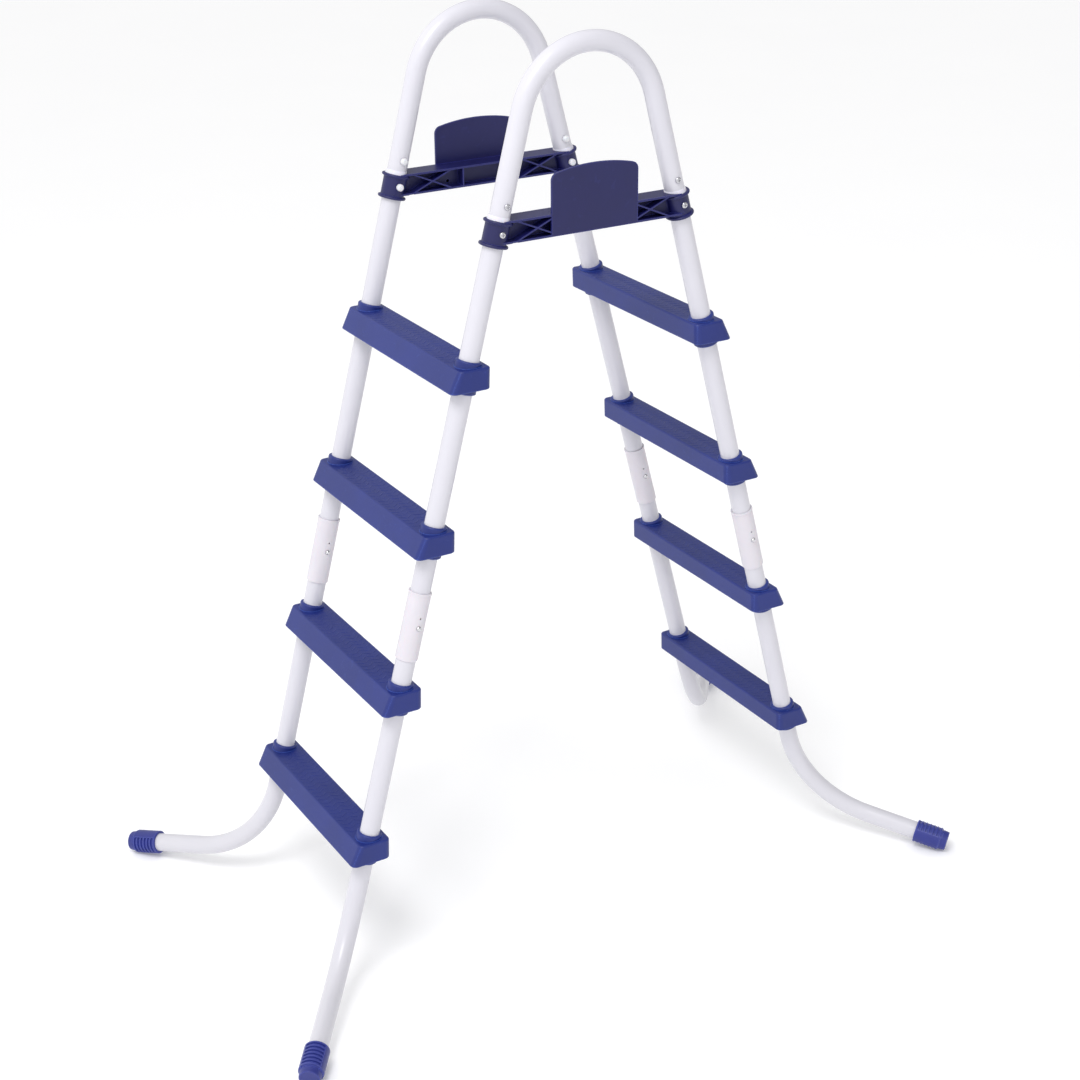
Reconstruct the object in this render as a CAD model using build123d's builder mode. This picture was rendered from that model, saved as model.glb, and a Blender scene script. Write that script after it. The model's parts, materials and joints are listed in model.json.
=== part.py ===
from build123d import *
import os
from math import acos, cos, radians, sin, tan

# A-frame pool ladder for an above-ground pool, in millimetres.
# +Z is up with the floor at Z = 0, X runs from one ladder over the wall to the other, and Y is
# the width of the steps. The origin is on the floor below the middle of the wall brackets.

# ---- driving dimensions -------------------------------------------------------------------
LEG_TILT = 14.8            # degrees from the vertical, each ladder leaning to the middle
FRAME_HALF_WIDTH = 166.0   # leg axis to the middle plane, along Y
STEP_RISE = 254.0          # from tread to tread
TOP_TREAD_Z = 1020.5       # height of the top tread
AXIS_X_AT_TOP_TREAD = 212.3
STEP_COUNT = 4

TUBE_R = 15.9
TUBE_WALL = 1.2
TUBE_BORE_R = TUBE_R - TUBE_WALL
SLIP = 0.15                # radial clearance of a tube in a moulded or sleeved bore

RAIL_ARC_R = 118.7         # centre line of the arch over the two legs

COLLAR_BOTTOM_Z = 1196.0   # measured on the leg axis
COLLAR_TOP_Z = 1234.0
COLLAR_R = 18.9
COLLAR_BEAD_R = 22.6
COLLAR_BEAD = 4.6
BEAM_BOTTOM_Z = 1201.0
BEAM_TOP_Z = 1235.0
BEAM_HALF_DEPTH = 18.5
FLANGE = 3.0
WEB = 3.0
X_RIB = 2.2
REST_HALF = 134.0          # half the length that rests on the wall
RELIEF_LENGTH = 9.0
RELIEF = 0.5
X_BAY = (-135.0, -64.0)    # ends of the crossed ribs on the left half, mirrored on the right
POST_X = 43.5              # upright ribs each side of the middle
WEB_HOLE_X = 64.0          # towards +X on the front bracket, -X on the back one
WEB_HOLE_Z = 1210.5
WEB_HOLE_R = 3.0
PANEL_HALF = 76.0
PANEL_TOP_Z = 1304.0
PANEL_SHOULDER_Z = 1294.0
PANEL_CORNER_R = 12.0

RING_HEIGHT = 6.5          # what shows of the rail plug between collar and handrail
RING_R = 17.9
RING_TOP_R = 16.5
PLUG_SPIGOT = 48.0
PLUG_WALL = 2.6

TREAD_DEPTH = 54.0
SKIRT_DEPTH = 69.0
TREAD_LENGTH = 383.0
SKIRT_LENGTH = 387.0
STEP_HEIGHT = 34.0
STEP_SKIN = 2.8
SOCKET_R = 20.6
SOCKET_ABOVE = 7.5         # socket rim above the tread, on the leg axis
SOCKET_BELOW = 7.0         # socket end below the skirt
STEP_RIBS_Y = (-96.0, -32.0, 32.0, 96.0)
STEP_RIB = 2.4

SLEEVE_TOP_Z = 669.0
SLEEVE_BOTTOM_Z = 559.0
SLEEVE_R = 18.0
SLEEVE_LIP_R = 18.6
SLEEVE_LIP = 3.0
JOINT_Z = 623.0            # upper leg ends here, lower leg starts 1 mm below
BUTTON_Z = 614.5
PIN_HOLE_Z = 630.0
PIN_HOLE_R = 1.6

BUTTON_R = 4.0
BUTTON_HOLE_R = 4.2
BUTTON_PROUD = 3.4         # dome above the sleeve
BUTTON_HEAD_R = 5.4
BUTTON_HEAD = 1.0
BUTTON_SEAT = 1.3          # from the bore to the shank's inner end
SPRING_STRIP = 0.6
SPRING_WIDTH = 7.0

BEND_START_Z = 191.3       # on the leg axis
BEND_R = 180.0
FLARE = 52.5               # degrees from X towards the outer side, seen from above
FOOT_DROP = 10.0           # degrees the foot runs below the level
FOOT_LENGTH = 93.0         # straight run from the bend to the cap's open end

CAP_LENGTH = 59.0
CAP_GRIP = 47.0            # length of the ribbed grip
CAP_R = 20.4
CAP_VALLEY_R = 17.4
CAP_NOSE_R = 16.8
CAP_RIBS = 7
CAP_RIB_PITCH = 7.0
CAP_BORE = 52.0
CAP_RIBBED_ARC = 100.0

BOLT_R = 2.5
BOLT_HOLE_R = 2.7
BOLT_HEAD_R = 5.0
BOLT_HEAD = 3.4
RECESS_LENGTH = 5.2
RECESS_WIDTH = 1.1
RECESS_DEPTH = 1.8
NUT_FLATS = 8.0
NUT_HEIGHT = 4.0
NUT_CAP_R = 5.7
NUT_CAP_HEIGHT = 7.0
WASHER_R = 5.6
WASHER = 0.8
RAIL_BOLT_Z = 1256.0
COLLAR_BOLT_Z = 1216.5
SCREW_R = 2.1
SCREW_HEAD_R = 4.2
SCREW_HEAD = 2.4
SCREW_LENGTH = 12.0
SCREW_BELOW_TREAD = 20.0

SIDES = {"left": -1, "right": 1}
ROWS = {"front": -1, "back": 1}
SLOPE = tan(radians(LEG_TILT))

os.makedirs("parts", exist_ok=True)


# ---- shared geometry ----------------------------------------------------------------------
def axis_x(z):
    """Distance of the leg axis from the middle plane at height z."""
    return AXIS_X_AT_TOP_TREAD + (TOP_TREAD_Z - z) * SLOPE


def leg_point(side, row, z):
    return Vector(SIDES[side] * axis_x(z), ROWS[row] * FRAME_HALF_WIDTH, z)


def leg_plane(side, row, z):
    """Plane square to a leg, with its own z up the leg and its own y along +Y."""
    lean = SIDES[side] * radians(LEG_TILT)
    return Plane(
        origin=leg_point(side, row, z),
        x_dir=(cos(lean), 0, sin(lean)),
        z_dir=(-sin(lean), 0, cos(lean)),
    )


def cross_plane(side, row, z, y):
    """Plane facing the wider side of the frame, on the leg axis, y from the leg's centre."""
    centre = leg_point(side, row, z)
    return Plane(
        origin=(centre.X, centre.Y + ROWS[row] * y, z),
        x_dir=(1, 0, 0),
        z_dir=(0, ROWS[row], 0),
    )


def along(z_low, z_high):
    """Length along a leg between two heights on its axis."""
    return (z_high - z_low) / cos(radians(LEG_TILT))


def tread_z(step):
    return TOP_TREAD_Z - (step - 1) * STEP_RISE


def save(builder, name):
    builder.part.label = name
    export_step(builder.part, f"parts/{name}.step")


def drill_across(side, row, z, radius, reach):
    """Cut a round hole along Y right through whatever stands at this height of a leg."""
    with BuildSketch(cross_plane(side, row, z, 0)) as hole:
        Circle(radius)
    extrude(hole.sketch, amount=reach, both=True, mode=Mode.SUBTRACT)


def drill_front(side, row, z, radius, start, end):
    """Cut a round hole along Y from start to end, measured from the leg axis towards -Y."""
    centre = leg_point(side, row, z)
    mouth = Plane(origin=(centre.X, centre.Y - start, z), x_dir=(1, 0, 0), z_dir=(0, -1, 0))
    with BuildSketch(mouth) as hole:
        Circle(radius)
    extrude(hole.sketch, amount=end - start, mode=Mode.SUBTRACT)


def screw_hole(side, row, step, radius):
    """Cut the hole of a step screw, which enters a leg from the middle of the step."""
    z = tread_z(step) - SCREW_BELOW_TREAD
    with BuildSketch(cross_plane(side, row, z, -SOCKET_R - 1)) as hole:
        Circle(radius)
    extrude(hole.sketch, amount=SOCKET_R + 1 - TUBE_BORE_R + 3, mode=Mode.SUBTRACT)


# ---- handrails ----------------------------------------------------------------------------
def make_handrail(row):
    y = ROWS[row] * FRAME_HALF_WIDTH
    end_z = COLLAR_TOP_Z + RING_HEIGHT * cos(radians(LEG_TILT))
    lean = radians(LEG_TILT)
    arc_z = TOP_TREAD_Z + (AXIS_X_AT_TOP_TREAD - RAIL_ARC_R / cos(lean)) / SLOPE
    touch_x = RAIL_ARC_R * cos(lean)
    touch_z = arc_z + RAIL_ARC_R * sin(lean)
    upright = Plane(origin=(0, y, 0), x_dir=(1, 0, 0), z_dir=(0, -1, 0))
    with BuildPart() as handrail:
        with BuildLine(upright):
            Line((-axis_x(end_z), end_z), (-touch_x, touch_z))
            ThreePointArc((-touch_x, touch_z), (0, arc_z + RAIL_ARC_R), (touch_x, touch_z))
            Line((touch_x, touch_z), (axis_x(end_z), end_z))
        with BuildSketch(leg_plane("left", row, end_z)):
            Circle(TUBE_R)
            Circle(TUBE_BORE_R, mode=Mode.SUBTRACT)
        sweep()
        for side in SIDES:
            drill_across(side, row, RAIL_BOLT_Z, BOLT_HOLE_R, TUBE_R + 5)
    save(handrail, f"handrail_{row}")


# ---- legs ---------------------------------------------------------------------------------
def make_upper_leg(side, row):
    with BuildPart() as upper_leg:
        with BuildSketch(leg_plane(side, row, JOINT_Z)):
            Circle(TUBE_R)
            Circle(TUBE_BORE_R, mode=Mode.SUBTRACT)
        extrude(amount=along(JOINT_Z, COLLAR_TOP_Z))
        drill_across(side, row, COLLAR_BOLT_Z, BOLT_HOLE_R, TUBE_R + 5)
        drill_front(side, row, PIN_HOLE_Z, PIN_HOLE_R, 10, TUBE_R + 5)
        for step in (1, 2):
            screw_hole(side, row, step, SCREW_R + 0.1)
    save(upper_leg, f"upper_leg_{side}_{row}")


def foot_direction(side, row):
    drop = radians(FOOT_DROP)
    flare = radians(FLARE)
    return Vector(
        SIDES[side] * cos(flare) * cos(drop),
        ROWS[row] * sin(flare) * cos(drop),
        -sin(drop),
    )


def foot_path(side, row):
    """Bend start, bend end and cap mouth of a lower leg."""
    start = leg_point(side, row, BEND_START_Z)
    down = leg_plane(side, row, BEND_START_Z).z_dir * -1
    out = foot_direction(side, row)
    turn = acos(down.dot(out))
    inward = (out - down * cos(turn)).normalized()
    bend_end = start + down * (BEND_R * sin(turn)) + inward * (BEND_R * (1 - cos(turn)))
    return start, bend_end, bend_end + out * FOOT_LENGTH


def make_lower_leg(side, row):
    top = leg_point(side, row, JOINT_Z - 1)
    start, bend_end, cap_mouth = foot_path(side, row)
    tube_end = cap_mouth + foot_direction(side, row) * (CAP_BORE - 0.5)
    with BuildPart() as lower_leg:
        with BuildLine():
            Line(top, start)
            TangentArc(start, bend_end, tangent=start - top)
            Line(bend_end, tube_end)
        with BuildSketch(leg_plane(side, row, JOINT_Z - 1)):
            Circle(TUBE_R)
            Circle(TUBE_BORE_R, mode=Mode.SUBTRACT)
        sweep()
        drill_front(side, row, BUTTON_Z, BUTTON_HOLE_R, 10, TUBE_R + 5)
        for step in (3, 4):
            screw_hole(side, row, step, SCREW_R + 0.1)
    save(lower_leg, f"lower_leg_{side}_{row}")


# ---- joint sleeves, snap buttons and their springs -----------------------------------------
def make_joint_sleeve(side, row):
    with BuildPart() as joint_sleeve:
        with BuildSketch(leg_plane(side, row, SLEEVE_BOTTOM_Z)):
            Circle(SLEEVE_R)
        extrude(amount=along(SLEEVE_BOTTOM_Z, SLEEVE_TOP_Z))
        with BuildSketch(leg_plane(side, row, SLEEVE_TOP_Z)):
            Circle(SLEEVE_LIP_R)
        extrude(amount=-SLEEVE_LIP)
        rims = joint_sleeve.edges().filter_by(GeomType.CIRCLE).sort_by(Axis.Z)
        chamfer(rims[0], 1.3)
        fillet(rims[-1], 0.6)
        with BuildSketch(leg_plane(side, row, SLEEVE_BOTTOM_Z - 5)):
            Circle(TUBE_R + SLIP)
        extrude(amount=along(SLEEVE_BOTTOM_Z, SLEEVE_TOP_Z) + 10, mode=Mode.SUBTRACT)
        drill_front(side, row, BUTTON_Z, BUTTON_HOLE_R, 10, SLEEVE_R + 5)
        drill_front(side, row, PIN_HOLE_Z, PIN_HOLE_R, 10, SLEEVE_R + 5)
    save(joint_sleeve, f"joint_sleeve_{side}_{row}")


def make_snap_button(side, row):
    centre = leg_point(side, row, BUTTON_Z)
    head_y = centre.Y - TUBE_BORE_R + BUTTON_SEAT
    head_plane = Plane(origin=(centre.X, head_y, centre.Z), x_dir=(1, 0, 0), z_dir=(0, -1, 0))
    with BuildPart() as snap_button:
        with BuildSketch(head_plane):
            Circle(BUTTON_R)
        extrude(amount=SLEEVE_R + BUTTON_PROUD - TUBE_BORE_R + BUTTON_SEAT)
        fillet(snap_button.faces().sort_by(Axis.Y)[0].edges(), BUTTON_R - 0.7)
        with BuildSketch(head_plane):
            Circle(BUTTON_HEAD_R)
        extrude(amount=-BUTTON_HEAD)
    save(snap_button, f"snap_button_{side}_{row}")


def make_button_spring(side, row):
    """Bent strip inside the leg: the front arm carries the button, the back arm leans on the leg."""
    lean = SIDES[side] * radians(LEG_TILT)
    profile_plane = Plane(
        origin=leg_point(side, row, BUTTON_Z), x_dir=(0, 1, 0), z_dir=(cos(lean), 0, sin(lean))
    )
    front = -TUBE_BORE_R + BUTTON_SEAT + BUTTON_HEAD + SPRING_STRIP / 2
    back = TUBE_BORE_R - 1.2
    with BuildPart() as button_spring:
        with BuildSketch(profile_plane):
            with BuildLine():
                Polyline((front, 6), (front, -12), (-3, -34))
                ThreePointArc((-3, -34), (0, -37.5), (3, -34))
                Line((3, -34), (back, 4))
            trace(line_width=SPRING_STRIP)
        extrude(amount=SPRING_WIDTH / 2, both=True)
    save(button_spring, f"button_spring_{side}_{row}")


# ---- plug between upper leg and handrail ---------------------------------------------------
def make_rail_plug(side, row):
    spigot_r = TUBE_BORE_R - SLIP
    with BuildPart() as rail_plug:
        with BuildSketch(leg_plane(side, row, COLLAR_TOP_Z).offset(-PLUG_SPIGOT)):
            Circle(spigot_r)
        extrude(amount=2 * PLUG_SPIGOT + RING_HEIGHT)
        with BuildSketch(leg_plane(side, row, COLLAR_TOP_Z)):
            Circle(RING_R)
        with BuildSketch(leg_plane(side, row, COLLAR_TOP_Z).offset(RING_HEIGHT)):
            Circle(RING_TOP_R)
        loft()
        with BuildSketch(leg_plane(side, row, COLLAR_TOP_Z).offset(-PLUG_SPIGOT)):
            Circle(spigot_r - PLUG_WALL)
        extrude(amount=2 * PLUG_SPIGOT + RING_HEIGHT, mode=Mode.SUBTRACT)
        drill_across(side, row, RAIL_BOLT_Z, BOLT_HOLE_R, TUBE_R + 5)
        drill_across(side, row, COLLAR_BOLT_Z, BOLT_HOLE_R, TUBE_R + 5)
    save(rail_plug, f"rail_plug_{side}_{row}")


# ---- wall brackets -------------------------------------------------------------------------
def collar_bead(side, row, start):
    """Rounded bead of a collar, start up the leg from the collar's lower end."""
    bead_plane = leg_plane(side, row, COLLAR_BOTTOM_Z).offset(start)
    with BuildPart() as bead:
        with BuildSketch(bead_plane):
            Circle(COLLAR_BEAD_R)
        extrude(amount=COLLAR_BEAD)
        fillet(bead.edges().filter_by(GeomType.CIRCLE), COLLAR_BEAD / 2 - 0.2)
    return bead.part


def make_wall_bracket(row):
    top_bead = along(COLLAR_BOTTOM_Z, COLLAR_TOP_Z) - COLLAR_BEAD
    beads = [collar_bead(side, row, start) for side in SIDES for start in (0, top_bead)]
    outer = ROWS[row]
    y = outer * FRAME_HALF_WIDTH
    upright = Plane(origin=(0, y, 0), x_dir=(1, 0, 0), z_dir=(0, -1, 0))
    panel_plane = Plane(
        origin=(0, y + outer * (BEAM_HALF_DEPTH - FLANGE / 2), 0), x_dir=(1, 0, 0), z_dir=(0, -1, 0)
    )
    beam_mid_z = (BEAM_BOTTOM_Z + BEAM_TOP_Z) / 2
    beam_height = BEAM_TOP_Z - BEAM_BOTTOM_Z
    clear_low = BEAM_BOTTOM_Z + FLANGE / 2
    clear_high = BEAM_TOP_Z - FLANGE / 2
    with BuildPart() as wall_bracket:
        # top and bottom flanges of the beam
        for z in (BEAM_BOTTOM_Z, BEAM_TOP_Z - FLANGE):
            with BuildSketch(Plane.XY.offset(z)):
                with Locations((0, y)):
                    Rectangle(2 * axis_x(z), 2 * BEAM_HALF_DEPTH)
            extrude(amount=FLANGE)
        # web
        with BuildSketch(upright):
            with Locations((0, beam_mid_z)):
                Rectangle(2 * axis_x(beam_mid_z), beam_height)
        extrude(amount=WEB / 2, both=True)
        # crossed ribs beside each collar, and two upright ribs
        with BuildSketch(upright):
            for mirror_x in (1, -1):
                low, high = mirror_x * X_BAY[0], mirror_x * X_BAY[1]
                with BuildLine():
                    Line((low, clear_high), (high, clear_low))
                with BuildLine():
                    Line((low, clear_low), (high, clear_high))
                with Locations((mirror_x * -POST_X, beam_mid_z)):
                    Rectangle(X_RIB, beam_height - 1)
            trace(line_width=X_RIB)
        extrude(amount=BEAM_HALF_DEPTH - 0.8, both=True)
        # tall panel with an arched top, on the outer side
        with BuildSketch(panel_plane):
            with BuildLine():
                Line((-PANEL_HALF, PANEL_SHOULDER_Z), (-PANEL_HALF, BEAM_BOTTOM_Z))
                Line((-PANEL_HALF, BEAM_BOTTOM_Z), (PANEL_HALF, BEAM_BOTTOM_Z))
                Line((PANEL_HALF, BEAM_BOTTOM_Z), (PANEL_HALF, PANEL_SHOULDER_Z))
                ThreePointArc(
                    (PANEL_HALF, PANEL_SHOULDER_Z), (0, PANEL_TOP_Z), (-PANEL_HALF, PANEL_SHOULDER_Z)
                )
            panel = make_face()
            fillet(panel.vertices().sort_by(Axis.Y)[-2:], PANEL_CORNER_R)
        extrude(amount=FLANGE / 2, both=True)
        # collars with a bead at each end
        for side in SIDES:
            with BuildSketch(leg_plane(side, row, COLLAR_BOTTOM_Z)):
                Circle(COLLAR_R)
            extrude(amount=along(COLLAR_BOTTOM_Z, COLLAR_TOP_Z))
        add(beads)
        for side in SIDES:
            with BuildSketch(leg_plane(side, row, COLLAR_BOTTOM_Z).offset(-12)):
                Circle(TUBE_R + SLIP)
            extrude(amount=along(COLLAR_BOTTOM_Z, COLLAR_TOP_Z) + 24, mode=Mode.SUBTRACT)
            with BuildSketch(leg_plane(side, row, COLLAR_TOP_Z)):
                Circle(RING_R + SLIP)
            extrude(amount=RING_HEIGHT + 6, mode=Mode.SUBTRACT)
            drill_across(side, row, COLLAR_BOLT_Z, BOLT_HOLE_R, COLLAR_BEAD_R + 5)
        # relief under the beam's ends, so that only its middle rests on the wall
        with BuildSketch(Plane.XY.offset(BEAM_BOTTOM_Z)):
            for end_x in (-1, 1):
                with Locations((end_x * (REST_HALF + RELIEF_LENGTH / 2), y)):
                    Rectangle(RELIEF_LENGTH, 2 * BEAM_HALF_DEPTH)
        extrude(amount=RELIEF, mode=Mode.SUBTRACT)
        # small hole through the web
        with BuildSketch(upright):
            with Locations((-outer * WEB_HOLE_X, WEB_HOLE_Z)):
                Circle(WEB_HOLE_R)
        extrude(amount=WEB, both=True, mode=Mode.SUBTRACT)
    save(wall_bracket, f"wall_bracket_{row}")


# ---- steps ---------------------------------------------------------------------------------
def step_socket(side, row, top_z, skirt_z):
    """Solid socket of a step round one leg, rounded at its rim."""
    with BuildPart() as socket:
        with BuildSketch(leg_plane(side, row, skirt_z - SOCKET_BELOW)):
            Circle(SOCKET_R)
        extrude(amount=along(skirt_z - SOCKET_BELOW, top_z + SOCKET_ABOVE))
        rims = socket.edges().filter_by(GeomType.CIRCLE).sort_by(Axis.Z)
        chamfer(rims[0], 1.0)
        fillet(rims[-1], 2.4)
    return socket.part


def make_step(side, step):
    top_z = tread_z(step)
    skirt_z = top_z - STEP_HEIGHT
    sx = SIDES[side]
    tread_plane = Plane(origin=(sx * axis_x(top_z), 0, top_z))
    skirt_plane = Plane(origin=(sx * axis_x(skirt_z), 0, skirt_z))
    under_tread = Plane(origin=(sx * axis_x(top_z - STEP_SKIN), 0, top_z - STEP_SKIN))
    low_z = skirt_z - 0.5
    below_skirt = Plane(origin=(sx * axis_x(low_z), 0, low_z))
    rib_edges = (-TREAD_LENGTH / 2 + STEP_SKIN, *STEP_RIBS_Y, TREAD_LENGTH / 2 - STEP_SKIN)
    sockets = [step_socket(side, row, top_z, skirt_z) for row in ROWS]
    with BuildPart() as step_part:
        with BuildSketch(skirt_plane):
            RectangleRounded(SKIRT_DEPTH, SKIRT_LENGTH, 11)
        with BuildSketch(tread_plane):
            RectangleRounded(TREAD_DEPTH, TREAD_LENGTH, 9)
        loft()
        fillet(step_part.faces().sort_by(Axis.Z)[-1].edges(), 3.2)
        fillet(step_part.faces().sort_by(Axis.Z)[0].edges(), 1.3)
        # hollow underside, left in bays between the cross ribs
        for start, end in zip(rib_edges[:-1], rib_edges[1:]):
            first = start if start == rib_edges[0] else start + STEP_RIB / 2
            last = end if end == rib_edges[-1] else end - STEP_RIB / 2
            with BuildSketch(below_skirt):
                with Locations((0, (first + last) / 2)):
                    Rectangle(SKIRT_DEPTH - 2 * STEP_SKIN, last - first)
            with BuildSketch(under_tread):
                with Locations((0, (first + last) / 2)):
                    Rectangle(TREAD_DEPTH - 2 * STEP_SKIN, last - first)
            loft(mode=Mode.SUBTRACT)
        # sockets round the two legs, bored for the tubes
        add(sockets)
        for row in ROWS:
            with BuildSketch(leg_plane(side, row, skirt_z - 3 * SOCKET_BELOW)):
                Circle(TUBE_R + SLIP)
            extrude(amount=along(0, STEP_HEIGHT + 6 * SOCKET_BELOW), mode=Mode.SUBTRACT)
            screw_hole(side, row, step, SCREW_R + 0.1)
    save(step_part, f"step_{side}_{step}")


# ---- foot caps -----------------------------------------------------------------------------
def make_foot_cap(side, row, turn):
    """Push-on cap: ribbed on two opposite sides, smooth between them, with a tapered nose."""
    mouth = foot_path(side, row)[2]
    out = foot_direction(side, row)
    level = Vector(-out.Y, out.X, 0).normalized()
    steep = out.cross(level)
    cap_plane = Plane(origin=mouth, x_dir=level, z_dir=out)
    with BuildPart() as foot_cap:
        with BuildSketch(cap_plane):
            Circle(CAP_R)
        extrude(amount=CAP_GRIP)
        chamfer(foot_cap.edges().filter_by(GeomType.CIRCLE), 1.0)
        with BuildSketch(cap_plane.offset(CAP_GRIP - 2)):
            Circle(CAP_VALLEY_R + 0.8)
        with BuildSketch(cap_plane.offset(CAP_LENGTH)):
            Circle(CAP_NOSE_R)
        loft()
        fillet(foot_cap.faces().sort_by(Axis(mouth, out))[-1].edges(), 1.2)
        # grooves between the ribs, on the two gripping sides
        for middle_angle in (90, 270):
            first_edge = radians(middle_angle - CAP_RIBBED_ARC / 2)
            radial = level * cos(first_edge) + steep * sin(first_edge)
            groove_plane = Plane(origin=mouth, x_dir=radial, z_dir=radial.cross(out))
            with BuildSketch(groove_plane):
                for rib in range(CAP_RIBS):
                    middle = 5.6 + rib * CAP_RIB_PITCH
                    with BuildLine():
                        Polyline(
                            (CAP_R + 2, middle - 3.4),
                            (CAP_VALLEY_R, middle - 1.3),
                            (CAP_VALLEY_R, middle + 1.3),
                            (CAP_R + 2, middle + 3.4),
                            close=True,
                        )
                    make_face()
            revolve(axis=Axis(mouth, out), revolution_arc=CAP_RIBBED_ARC, mode=Mode.SUBTRACT)
        with BuildSketch(cap_plane):
            Circle(TUBE_R + SLIP)
        extrude(amount=CAP_BORE, mode=Mode.SUBTRACT)
    turned_cap = foot_cap.part.rotate(Axis(mouth, out), turn)
    turned_cap.label = f"foot_cap_{side}_{row}"
    export_step(turned_cap, f"parts/foot_cap_{side}_{row}.step")


# ---- fasteners -----------------------------------------------------------------------------
def bolt_sites(z, seat):
    """Every leg's bolt: side, row and the radius of the tube or collar it is drawn against."""
    return [(side, row, z, seat) for side in SIDES for row in ROWS]


def bolt_head(side, row, z, seat):
    """Pan head with a crossed recess, seated on the outer side of a tube or collar."""
    with BuildPart() as head:
        with BuildSketch(cross_plane(side, row, z, seat)):
            Circle(BOLT_HEAD_R)
        extrude(amount=BOLT_HEAD)
        fillet(head.faces().sort_by(Axis.Y)[0 if row == "front" else -1].edges(), 2.2)
        with BuildSketch(cross_plane(side, row, z, seat + BOLT_HEAD)):
            Rectangle(RECESS_LENGTH, RECESS_WIDTH)
            Rectangle(RECESS_WIDTH, RECESS_LENGTH)
        extrude(amount=-RECESS_DEPTH, mode=Mode.SUBTRACT)
    return head.part


def make_bolts(name, z, seat):
    """Bolts along Y, heads on the outer side, one for each leg."""
    tail = seat + WASHER + NUT_HEIGHT + 1.0
    heads = [bolt_head(*site) for site in bolt_sites(z, seat)]
    with BuildPart() as bolts:
        for side, row, height, radius in bolt_sites(z, seat):
            with BuildSketch(cross_plane(side, row, height, -tail)):
                Circle(BOLT_R)
            extrude(amount=tail + radius + 1)
        add(heads)
    save(bolts, name)


def make_washers(name, z, seat):
    with BuildPart() as washers:
        for side, row, height, radius in bolt_sites(z, seat):
            with BuildSketch(cross_plane(side, row, height, -radius - WASHER)):
                Circle(WASHER_R)
                Circle(BOLT_HOLE_R, mode=Mode.SUBTRACT)
            extrude(amount=WASHER)
    save(washers, name)


def make_nuts(name, z, seat):
    with BuildPart() as nuts:
        for side, row, height, radius in bolt_sites(z, seat):
            with BuildSketch(cross_plane(side, row, height, -radius - WASHER - NUT_HEIGHT)):
                RegularPolygon(NUT_FLATS / 2, 6, major_radius=False)
                Circle(BOLT_R + 0.05, mode=Mode.SUBTRACT)
            extrude(amount=NUT_HEIGHT)
    save(nuts, name)


def nut_cap(side, row, z, seat):
    """Domed cap pushed over the nut on the inner side of a tube or collar."""
    base = seat + WASHER
    with BuildPart() as cap:
        with BuildSketch(cross_plane(side, row, z, -base)):
            Circle(NUT_CAP_R)
        extrude(amount=-NUT_CAP_HEIGHT)
        fillet(cap.faces().sort_by(Axis.Y)[-1 if row == "front" else 0].edges(), 3.6)
        with BuildSketch(cross_plane(side, row, z, -base)):
            Circle(NUT_FLATS / 2 / cos(radians(30)) + SLIP)
        extrude(amount=-NUT_HEIGHT - 1.4, mode=Mode.SUBTRACT)
    return cap.part


def make_nut_caps(name, z, seat):
    caps = [nut_cap(*site) for site in bolt_sites(z, seat)]
    with BuildPart() as nut_caps:
        add(caps)
    save(nut_caps, name)


def make_step_screws(side):
    """Pan-head tapping screws through each socket into its leg, from inside the step."""
    with BuildPart() as screws:
        for step in range(1, STEP_COUNT + 1):
            z = tread_z(step) - SCREW_BELOW_TREAD
            for row in ROWS:
                seat = -SOCKET_R
                with BuildSketch(cross_plane(side, row, z, seat)):
                    Circle(SCREW_R)
                extrude(amount=SCREW_LENGTH, taper=2)
                with BuildSketch(cross_plane(side, row, z, seat)):
                    Circle(SCREW_HEAD_R)
                extrude(amount=-SCREW_HEAD)
    save(screws, f"step_screws_{side}")


# ---- build everything ----------------------------------------------------------------------
for row in ROWS:
    make_handrail(row)
    make_wall_bracket(row)

for side in SIDES:
    for step in range(1, STEP_COUNT + 1):
        make_step(side, step)
    make_step_screws(side)
    for row in ROWS:
        make_upper_leg(side, row)
        make_lower_leg(side, row)
        make_joint_sleeve(side, row)
        make_snap_button(side, row)
        make_button_spring(side, row)
        make_rail_plug(side, row)
        make_foot_cap(side, row, 90 if (side, row) == ("left", "back") else 0)

for name, z, seat in (("rail", RAIL_BOLT_Z, TUBE_R), ("collar", COLLAR_BOLT_Z, COLLAR_R)):
    make_bolts(f"{name}_bolts", z, seat)
    make_washers(f"{name}_washers", z, seat)
    make_nuts(f"{name}_nuts", z, seat)
    make_nut_caps(f"{name}_nut_caps", z, seat)
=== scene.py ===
# %% [markdown]
# # A pool ladder
# Two step ladders lean together over a pool wall. White tubes carry blue moulded steps, and each
# pair of legs is joined over the wall by an arched handrail and a blue bracket. The solid model
# already holds every real shape, so this lesson gives each piece its finish, adds the raised
# anti-slip marks that the solids leave out, copies the button springs into pieces of their own,
# and lights the result.

# %% Load the solid model
import json
import math

import bmesh
import bpy
from mathutils import Matrix, Vector


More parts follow.
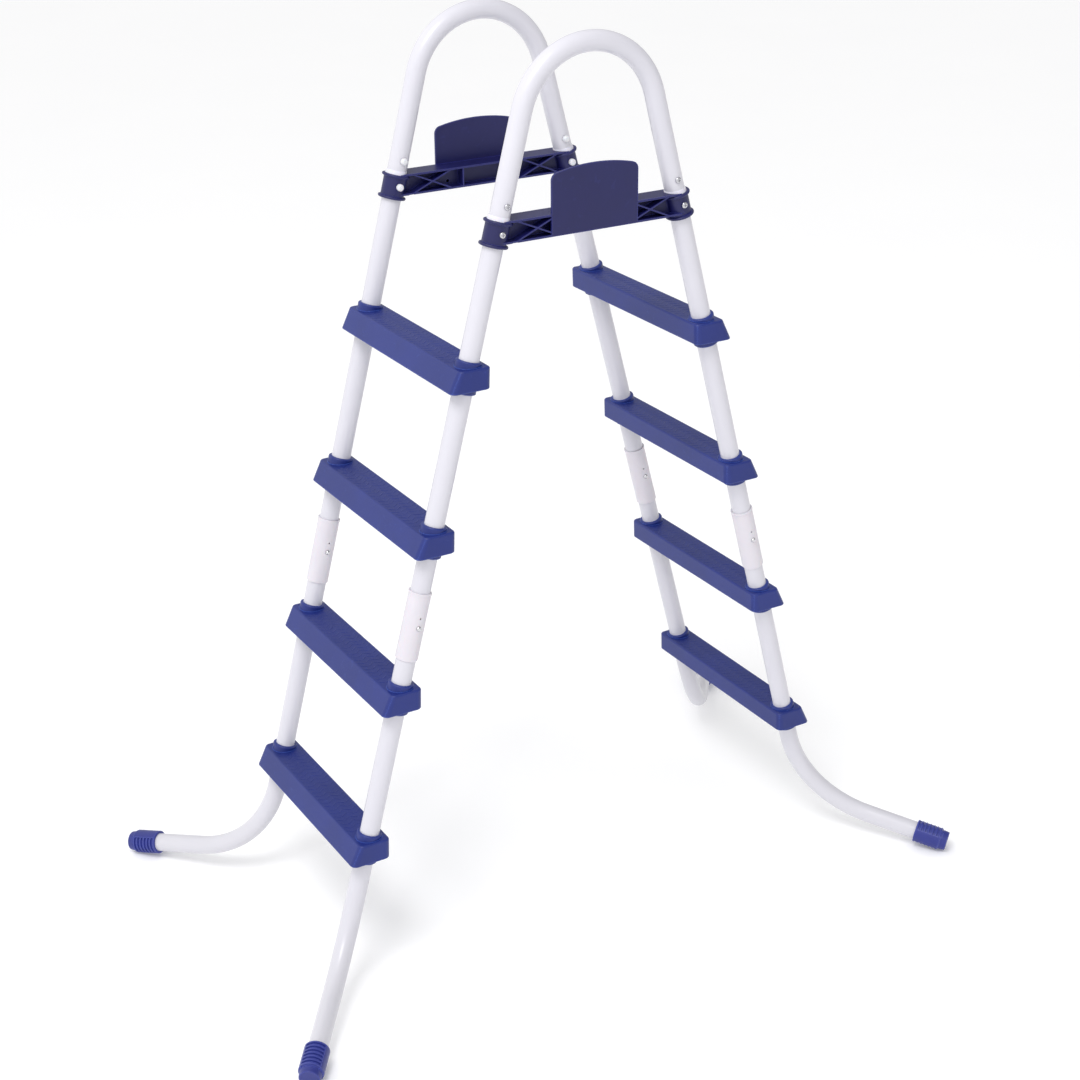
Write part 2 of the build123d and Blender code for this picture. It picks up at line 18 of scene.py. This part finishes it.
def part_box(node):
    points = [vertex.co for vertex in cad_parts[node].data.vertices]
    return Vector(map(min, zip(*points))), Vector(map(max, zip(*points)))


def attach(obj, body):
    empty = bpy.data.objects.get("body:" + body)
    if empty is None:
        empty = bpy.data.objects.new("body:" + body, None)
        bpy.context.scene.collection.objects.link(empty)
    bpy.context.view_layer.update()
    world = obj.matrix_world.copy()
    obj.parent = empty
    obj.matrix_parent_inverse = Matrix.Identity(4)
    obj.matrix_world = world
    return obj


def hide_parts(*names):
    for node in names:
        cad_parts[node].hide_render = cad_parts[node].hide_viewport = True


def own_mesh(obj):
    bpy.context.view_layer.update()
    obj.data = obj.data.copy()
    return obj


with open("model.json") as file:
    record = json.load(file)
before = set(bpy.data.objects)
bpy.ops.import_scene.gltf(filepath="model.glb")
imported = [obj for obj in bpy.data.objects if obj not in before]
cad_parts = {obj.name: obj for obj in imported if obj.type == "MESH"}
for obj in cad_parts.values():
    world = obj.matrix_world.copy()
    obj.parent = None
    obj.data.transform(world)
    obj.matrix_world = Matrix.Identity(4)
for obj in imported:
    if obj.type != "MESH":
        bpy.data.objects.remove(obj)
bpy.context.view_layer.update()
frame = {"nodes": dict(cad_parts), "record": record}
nodes = frame["nodes"]
print("pieces in the solid model:", len(nodes))

# %% [markdown]
# ## Shader maths
# A shader is easiest to read as a formula. This small class wraps a socket, so that `1 - mask` or
# `grain * 0.3` adds the Math nodes itself. The other way is to place each Math node by hand, which
# takes four lines for every sign and hides the formula.


# %% Wrap a socket
class Term:
    def __init__(self, finish, socket):
        self.finish = finish
        self.socket = socket

    def math(self, operation, first, second=None, clamp=False):
        node = self.finish.tree.nodes.new("ShaderNodeMath")
        node.operation = operation
        node.use_clamp = clamp
        self.finish.feed(node.inputs[0], first)
        if second is not None:
            self.finish.feed(node.inputs[1], second)
        return Term(self.finish, node.outputs[0])

    def __add__(self, other):
        return self.math("ADD", self, other)

    def __radd__(self, other):
        return self.math("ADD", other, self)

    def __sub__(self, other):
        return self.math("SUBTRACT", self, other)

    def __rsub__(self, other):
        return self.math("SUBTRACT", other, self)

    def __mul__(self, other):
        return self.math("MULTIPLY", self, other)

    def __rmul__(self, other):
        return self.math("MULTIPLY", other, self)

    def clamped(self):
        return self.math("ADD", self, 0.0, clamp=True)


# %% [markdown]
# ## A finish
# Each finish is one material with a Principled shader. One method adds any other node: it takes the
# type, the settings that have to be set first, and then the values or links of its sockets. Fixed
# numbers go straight on the shader, and only what changes over the surface is linked.


# %% Start a finish
class Finish:
    def __init__(self, name, **fixed):
        self.material = bpy.data.materials.new(name)
        self.material.use_nodes = True
        self.tree = self.material.node_tree
        self.shader = self.tree.nodes["Principled BSDF"]
        for socket, value in fixed.items():
            self.shader.inputs[socket.replace("_", " ")].default_value = value
        self.place = self.add("ShaderNodeTexCoord", out="Object")

    def feed(self, socket, value):
        if isinstance(value, Term):
            self.tree.links.new(value.socket, socket)
        else:
            socket.default_value = value

    def add(self, kind, settings=None, sockets=None, out=0):
        node = self.tree.nodes.new(kind)
        for key, value in (settings or {}).items():
            setattr(node, key, value)
        for key, value in (sockets or {}).items():
            self.feed(node.inputs[key], value)
        return Term(self, node.outputs[out])

    def noise(self, scale, detail=3.0, roughness=0.55):
        sockets = {"Vector": self.place, "Scale": scale, "Detail": detail, "Roughness": roughness}
        return self.add("ShaderNodeTexNoise", {}, sockets, out="Fac")

    def between(self, low, high, value):
        """0 below low, 1 above high, and a smooth rise between them."""
        settings = {"interpolation_type": "SMOOTHSTEP"}
        sockets = {"Value": value, "From Min": low, "From Max": high}
        return self.add("ShaderNodeMapRange", settings, sockets, out="Result")

    def blend(self, amount, first, second):
        """A colour between two, by an amount from 0 to 1."""
        node = self.tree.nodes.new("ShaderNodeMix")
        node.data_type = "RGBA"
        self.feed(node.inputs["Factor"], amount)
        self.feed(node.inputs[6], first)
        self.feed(node.inputs[7], second)
        return Term(self, node.outputs[2])

    def edges(self, reach):
        """1 on edges and corners, where the mouldings paint their highlight, and 0 on the flats."""
        rounded = self.add("ShaderNodeBevel", {"samples": 6}, {"Radius": reach}, out="Normal")
        flat = self.add("ShaderNodeNewGeometry", out="Normal")
        sockets = {0: rounded, 1: flat}
        same = self.add("ShaderNodeVectorMath", {"operation": "DOT_PRODUCT"}, sockets, out="Value")
        return self.between(0.004, 0.09, 1 - same)

    def bumps(self, height, distance):
        sockets = {"Height": height, "Distance": distance, "Strength": 1.0}
        return self.add("ShaderNodeBump", {}, sockets, out="Normal")

    def colour(self, value):
        self.feed(self.shader.inputs["Base Color"], value)

    def roughness(self, value):
        self.feed(self.shader.inputs["Roughness"], value)

    def normal(self, value):
        self.feed(self.shader.inputs["Normal"], value)


def linear(level):
    """A screen level from 0 to 1, as the amount of light it stands for."""
    if level <= 0.04045:
        return level / 12.92
    return ((level + 0.055) / 1.055) ** 2.4


def rgb(red, green, blue):
    """A colour from 0 to 1 as it looks on a screen, made linear for the shader."""
    return (linear(red), linear(green), linear(blue), 1.0)


# %% [markdown]
# ## White enamel
# The tubes have a white powder coat, a shade cool. Powder melts into a skin with a very low orange
# peel, so the gloss is soft and the highlights waver. A fine noise gives the peel, and a broad one
# gives the faint unevenness of a baked coat. Near the floor it is a little duller.


# %% Tube enamel
def tube_enamel():
    coat = Finish("tube_enamel", IOR=1.5, Coat_Weight=0.25, Coat_Roughness=0.12)
    peel = coat.noise(420.0, 2.0)
    broad = coat.noise(7.0, 4.0)
    height = coat.add("ShaderNodeSeparateXYZ", {}, {0: coat.place}, out="Z")
    low = 1 - coat.between(0.0, 0.30, height)
    # The coat is patchily darker and rougher over its lowest 30 cm.
    low_dulling = (low * broad * 0.6).clamped()
    clean = coat.blend(broad, rgb(0.800, 0.795, 0.830), rgb(0.825, 0.820, 0.850))
    coat.colour(coat.blend(low_dulling, clean, rgb(0.77, 0.765, 0.78)))
    coat.roughness(0.27 + peel * 0.06 + low_dulling * 0.15)
    coat.normal(coat.bumps(peel + broad * 0.5, 0.00006))
    return coat.material


# %% [markdown]
# ## White mouldings
# The sleeves, the plugs under the handrails and the nut caps are moulded in white plastic. Light
# goes a little way into it, so it looks softer than the enamel beside it. Each is also a little
# paler than the enamel, which is what tells the joints apart from the tubes.


# %% White plastic
def white_moulding(name, shade, gloss):
    plastic = Finish(name, IOR=1.48, Subsurface_Weight=0.06, Subsurface_Scale=0.004)
    flow = plastic.noise(28.0, 3.0)
    grain = plastic.noise(1500.0, 1.0)
    # The edges are painted paler: a painted highlight where the rims catch the light.
    highlight_edges = plastic.edges(0.0008)
    deep = tuple(c * 0.94 for c in shade[:3]) + (1.0,)
    body = plastic.blend(flow, deep, shade)
    plastic.colour(plastic.blend(highlight_edges * 0.35, body, rgb(0.97, 0.97, 0.98)))
    plastic.roughness(gloss + flow * 0.08)
    plastic.normal(plastic.bumps(grain * 0.4 + flow, 0.00005))
    return plastic.material


# %% [markdown]
# ## Blue mouldings
# The steps, brackets and foot caps are a tough moulded plastic with a slightly waxy look, such as
# polypropylene. Moulds like these have a fine texture, so a fine grain breaks up the gloss. Rounded
# edges are painted paler, a painted highlight where they catch the light, and are a little glossier.
# The Bevel node finds those edges on any shape, where a hand-painted mask would have to be redone
# for every step.


# %% Blue plastic
def blue_moulding(name, shade, pale, gloss, grain_depth, highlight_amount):
    plastic = Finish(name, IOR=1.49, Coat_Weight=0.08, Coat_Roughness=0.25)
    grain = plastic.noise(1100.0, 2.0, 0.6)
    cloud = plastic.noise(11.0, 4.0)
    scuff_sockets = {"Vector": plastic.place, "Scale": 60.0, "Detail": 5.0, "Distortion": 1.6}
    scuffs = plastic.between(0.62, 0.72, plastic.add("ShaderNodeTexNoise", {}, scuff_sockets, out="Fac"))
    # Rounded edges are painted paler by the last amount: a painted highlight, with a little more gloss.
    highlight_edges = plastic.edges(0.0030)
    darker = tuple(c * 0.86 for c in shade[:3]) + (1.0,)
    body = plastic.blend(plastic.between(0.3, 0.7, cloud), darker, shade)
    marked = plastic.blend(scuffs * 0.10, body, pale)
    plastic.colour(plastic.blend((highlight_edges * highlight_amount).clamped(), marked, pale))
    plastic.roughness(gloss + grain * 0.10 - highlight_edges * 0.08)
    plastic.normal(plastic.bumps(grain, grain_depth))
    return plastic.material


# %% [markdown]
# ## Bare metal
# The snap buttons and bolt heads are plated bright, and the washers, nuts, screws and springs are
# plain zinc or spring steel. All are one recipe: fully metallic, with a cloudy noise that dulls the
# colour and the gloss in places, and a fine grain in the bump.


# %% Plated steel
def plated(name, shade, gloss, scratch):
    metal = Finish(name, Metallic=1.0)
    fine = metal.noise(900.0, 2.0)
    cloud = metal.noise(90.0, 3.0)
    dull = tuple(c * 0.82 for c in shade[:3]) + (1.0,)
    metal.colour(metal.blend(cloud, dull, shade))
    metal.roughness(gloss + cloud * scratch)
    metal.normal(metal.bumps(fine, 0.00001))
    return metal.material


# %% [markdown]
# ## All the finishes
# Every slot of the record gets its finish here, under the slot's own name, so that one table shows
# all the colours side by side. The tread marks share the steps' colours, without the painted edge
# highlight that would make such small pads stand out.

# %% Make every finish
finishes = {
    "white_tube": tube_enamel(),
    "white_sleeve": white_moulding("sleeve_plastic", rgb(0.845, 0.828, 0.858), 0.34),
    "white_plug": white_moulding("plug_plastic", rgb(0.875, 0.870, 0.915), 0.30),
    "white_nut_cap": white_moulding("nut_cap_plastic", rgb(0.87, 0.87, 0.89), 0.26),
    # The last number of each blue finish is how strongly its edges are painted with a highlight.
    "blue_step": blue_moulding(
        "step_plastic", rgb(0.055, 0.140, 0.460), rgb(0.26, 0.36, 0.70), 0.42, 0.00006, 0.75
    ),
    "tread_marks": blue_moulding(
        "mark_plastic", rgb(0.055, 0.140, 0.460), rgb(0.26, 0.36, 0.70), 0.42, 0.00006, 0.0
    ),
    "blue_bracket": blue_moulding(
        "bracket_plastic", rgb(0.055, 0.060, 0.315), rgb(0.22, 0.24, 0.58), 0.44, 0.00004, 0.45
    ),
    "blue_cap": blue_moulding(
        "cap_plastic", rgb(0.130, 0.170, 0.510), rgb(0.36, 0.40, 0.75), 0.38, 0.00005, 0.50
    ),
    "chrome_button": plated("button_chrome", rgb(0.86, 0.86, 0.87), 0.10, 0.10),
    "zinc_bolt": plated("bolt_plating", rgb(0.82, 0.82, 0.84), 0.16, 0.14),
    "zinc_washer": plated("washer_zinc", rgb(0.74, 0.74, 0.75), 0.30, 0.20),
    "zinc_nut": plated("nut_zinc", rgb(0.72, 0.72, 0.74), 0.30, 0.20),
    "step_screw": plated("screw_zinc", rgb(0.70, 0.70, 0.72), 0.28, 0.20),
    "spring_steel": plated("strip_steel", rgb(0.55, 0.55, 0.58), 0.32, 0.15),
}
print("finishes:", len(finishes))

# %% [markdown]
# ## Put the finishes on
# The record names a slot for each piece of the solid model, so one loop gives every piece its
# finish. Giving them by hand would take a line for each piece and could miss one.

# %% Finish the solid pieces
for subpart in frame["record"]["subparts"]:
    piece = nodes[subpart["node"]]
    piece.data.materials.clear()
    piece.data.materials.append(finishes[subpart["material_slot"]])

# %% [markdown]
# ## Anti-slip marks
# A wet tread needs grip, so each step is moulded with low raised marks. They could be a bump in the
# finish, but a bump has no outline when light rakes over it. So they are small real pads, a third
# of a millimetre high, laid in slanting rows. The tread's flat is measured from the step's own faces.


# %% Measure a tread
def tread_flat(step):
    """Height of the tread's flat face, its lowest and highest x, and its lowest y."""
    faces = [f for f in step.data.polygons if f.normal.z > 0.999]
    areas = {}
    for face in faces:
        level = round(face.center.z, 4)
        areas[level] = areas.get(level, 0.0) + face.area
    level = max(areas, key=areas.get)
    points = [
        step.data.vertices[i].co
        for face in faces
        if abs(face.center.z - level) < 0.0002
        for i in face.vertices
    ]
    return level, min(p.x for p in points), max(p.x for p in points), min(p.y for p in points)


# %% Make one raised pad
PAD_POINTS = 12
PAD_SUNK = 0.0002
PAD_SLOPE = 0.0004


def add_pad(mesh, place, length, width, height):
    """A low bar with round ends and a smaller top, so that its sides slope."""
    rings = []
    for level, shrink in ((-PAD_SUNK, 0.0), (height * 0.55, 0.0), (height, PAD_SLOPE)):
        ring = []
        for i in range(PAD_POINTS):
            angle = 2 * math.pi * i / PAD_POINTS
            end = (length - width) / 2 * (1 if math.cos(angle) >= 0 else -1)
            x = end + (width / 2 - shrink) * math.cos(angle)
            y = (width / 2 - shrink) * math.sin(angle)
            ring.append(mesh.verts.new(place @ Vector((x, y, level))))
        rings.append(ring)
    for lower, upper in zip(rings[:-1], rings[1:]):
        for i in range(PAD_POINTS):
            j = (i + 1) % PAD_POINTS
            mesh.faces.new((lower[i], lower[j], upper[j], upper[i]))
    mesh.faces.new(rings[-1])
    mesh.faces.new(list(reversed(rings[0])))


# %% Lay the pads on each tread
PAD_LENGTH = 0.0125
PAD_WIDTH = 0.0021
PAD_HEIGHT = 0.0003
PAD_PITCH = 0.0125
PAD_ROWS = 4
PAD_SLANT = math.radians(38)
END_MARGIN = 0.010
SOCKET_CLEAR = 0.0270
leg_low, leg_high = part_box("upper_leg_left_back")
LEG_Y = (leg_low[1] + leg_high[1]) / 2
print("legs stand at", round(LEG_Y, 4), "each side of the middle")


def tread_marks(name, step):
    level, x_low, x_high, y_low = tread_flat(step)
    mesh = bmesh.new()
    row_pitch = (x_high - x_low) / PAD_ROWS
    count = int((2 * -y_low - END_MARGIN) / PAD_PITCH)
    for row in range(PAD_ROWS):
        x = x_low + (row + 0.5) * row_pitch
        for i in range(count):
            y = (i - (count - 1) / 2) * PAD_PITCH
            if abs(abs(y) - LEG_Y) < SOCKET_CLEAR:
                continue
            slant = PAD_SLANT if row % 2 else -PAD_SLANT
            place = Matrix.Translation((x, y, level)) @ Matrix.Rotation(slant, 4, "Z")
            add_pad(mesh, place, PAD_LENGTH, PAD_WIDTH, PAD_HEIGHT)
    data = bpy.data.meshes.new(name)
    mesh.to_mesh(data)
    mesh.free()
    marks = bpy.data.objects.new(name, data)
    bpy.context.collection.objects.link(marks)
    data.materials.append(finishes["tread_marks"])
    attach(marks, "frame")
    return marks


for side in ("left", "right"):
    for number in range(1, 5):
        made = tread_marks(f"tread_marks_{side}_{number}", nodes[f"step_{side}_{number}"])
        print(made.name, "faces", len(made.data.polygons))

# %% [markdown]
# ## Button springs
# Behind each snap button a bent steel strip sits in the tube. Its back arm leans on the tube's wall,
# and its front arm is pushed back as the button goes in. A rigid strip would be cut by the button,
# and a bone rig is too much for one bend. Each strip is copied here into an object of its own, with
# a mesh of its own, and the solid strip is hidden; the copy keeps the solid strip's shape.

# %% Copy the strips
for side in ("left", "right"):
    for row in ("front", "back"):
        solid = f"button_spring_{side}_{row}"
        strip = bpy.data.objects.new(f"bent_strip_{side}_{row}", nodes[solid].data.copy())
        bpy.context.collection.objects.link(strip)
        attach(strip, "frame")
        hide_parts(solid)
        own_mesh(strip)

# %% [markdown]
# ## Floor and light
# The ladder stands on a pale floor under soft studio light. The floor has a faint glow of its own,
# so that it stays white. One large lamp above and to the left makes the main light, and the pale
# surroundings light the rest. They fade towards the right, so the tubes are bright on the left and
# shade off on the right, which shows them as round.

# %% Floor
FLOOR_SIZE = 70.0
FLOOR_GAP = 0.0004  # the floor lies this far under zero, clear of the foot caps
floor_mesh = bmesh.new()
bmesh.ops.create_grid(floor_mesh, x_segments=8, y_segments=8, size=FLOOR_SIZE)
floor_data = bpy.data.meshes.new("studio_floor")
floor_mesh.to_mesh(floor_data)
floor_mesh.free()
floor = bpy.data.objects.new("studio_floor", floor_data)
floor.location.z = -FLOOR_GAP
bpy.context.collection.objects.link(floor)
paper = Finish("studio_paper", Roughness=0.9, Emission_Color=(1.0, 1.0, 1.0, 1.0), Emission_Strength=0.10)
paper.colour(paper.blend(paper.noise(2.0), rgb(0.975, 0.975, 0.978), rgb(0.985, 0.985, 0.987)))
floor_data.materials.append(paper.material)


# %% Lamp and surroundings
def lamp(name, place, target, size, power):
    data = bpy.data.lights.new(name, "AREA")
    data.shape = "RECTANGLE"
    data.size, data.size_y = size
    data.energy = power
    obj = bpy.data.objects.new(name, data)
    obj.location = place
    obj.rotation_euler = (Vector(target) - Vector(place)).to_track_quat("-Z", "Y").to_euler()
    bpy.context.collection.objects.link(obj)


lamp("key_light", (-2.0, -1.5, 4.4), (0, 0, 0.7), (1.6, 1.6), 78)
sky = bpy.data.worlds.new("studio_surroundings")
sky.use_nodes = True
backdrop = sky.node_tree.nodes["Background"]
way = sky.node_tree.nodes.new("ShaderNodeTexCoord")
split = sky.node_tree.nodes.new("ShaderNodeSeparateXYZ")
fade = sky.node_tree.nodes.new("ShaderNodeMapRange")
fade.interpolation_type = "SMOOTHSTEP"
for socket, value in (("From Min", -0.35), ("From Max", 0.75), ("To Min", 1.12), ("To Max", 0.50)):
    fade.inputs[socket].default_value = value
sky.node_tree.links.new(way.outputs["Generated"], split.inputs[0])
sky.node_tree.links.new(split.outputs["X"], fade.inputs["Value"])
sky.node_tree.links.new(fade.outputs["Result"], backdrop.inputs["Strength"])
backdrop.inputs["Color"].default_value = (1.0, 1.0, 1.0, 1.0)
bpy.context.scene.world = sky
bpy.context.scene.view_settings.view_transform = "Standard"

# %% [markdown]
# ## Camera
# The ladder is seen from its left front, looking down. The yaw is the angle from the Y axis towards
# the X axis, the pitch is how far down the camera looks, and the roll is a very slight sideways tilt.

# %% Camera
yaw, pitch, roll = 0.5306, 0.4244, -0.0081
LENS_MM = 65.78
SENSOR_MM = 36.0
forward = Vector((math.sin(yaw) * math.cos(pitch), math.cos(yaw) * math.cos(pitch), -math.sin(pitch)))
level_right = Vector((math.cos(yaw), -math.sin(yaw), 0))
level_up = level_right.cross(forward)
right = level_right * math.cos(roll) + level_up * math.sin(roll)
up = level_up * math.cos(roll) - level_right * math.sin(roll)
eye = Vector((-1.5376, -2.6336, 1.997))
lens = bpy.data.cameras.new("studio_camera")
lens.lens = LENS_MM
lens.sensor_width = SENSOR_MM
lens.clip_end = 200.0
camera = bpy.data.objects.new("studio_camera", lens)
turn = Matrix((right, up, -forward)).transposed().to_4x4()
camera.matrix_world = Matrix.Translation(eye) @ turn
bpy.context.collection.objects.link(camera)
bpy.context.scene.camera = camera
print("camera at", tuple(round(v, 3) for v in eye))
